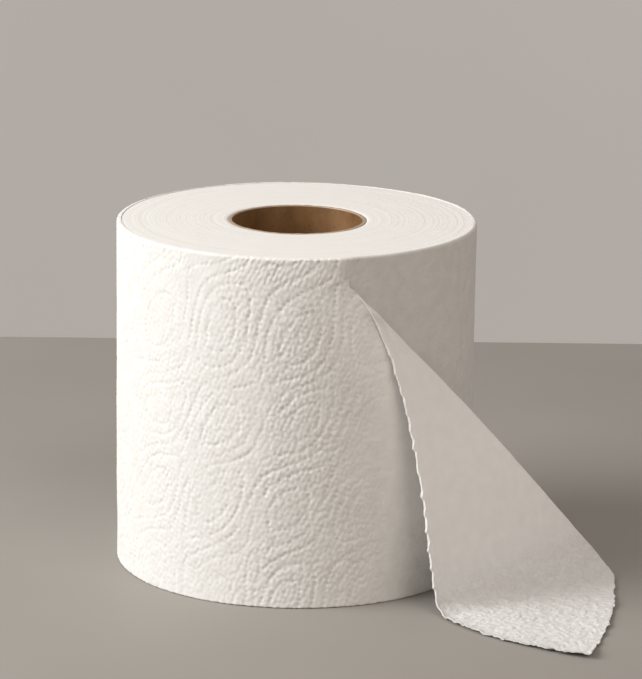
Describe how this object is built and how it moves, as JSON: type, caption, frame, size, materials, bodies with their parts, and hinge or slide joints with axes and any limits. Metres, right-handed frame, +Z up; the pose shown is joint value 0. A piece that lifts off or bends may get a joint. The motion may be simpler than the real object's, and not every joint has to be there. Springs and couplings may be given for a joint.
{
  "type": "toilet paper roll",
  "caption": "Wound tissue roll standing on a card core, its torn last sheet hanging from the rim, bending and lying on the floor.",
  "frame": {"origin": "centre of the core's bore at the roll's lower end, on the floor", "axes": "+Z up along the core; the hanging sheet falls towards +X and -Y"},
  "size_m": [0.1424, 0.1404, 0.1],
  "materials": {
    "tissue": "matt embossed tissue",
    "card": "matt grey-brown card"
  },
  "bodies": {
    "root": {"core_tube": "card", "tissue_roll": "tissue"}
  },
  "joints": []
}
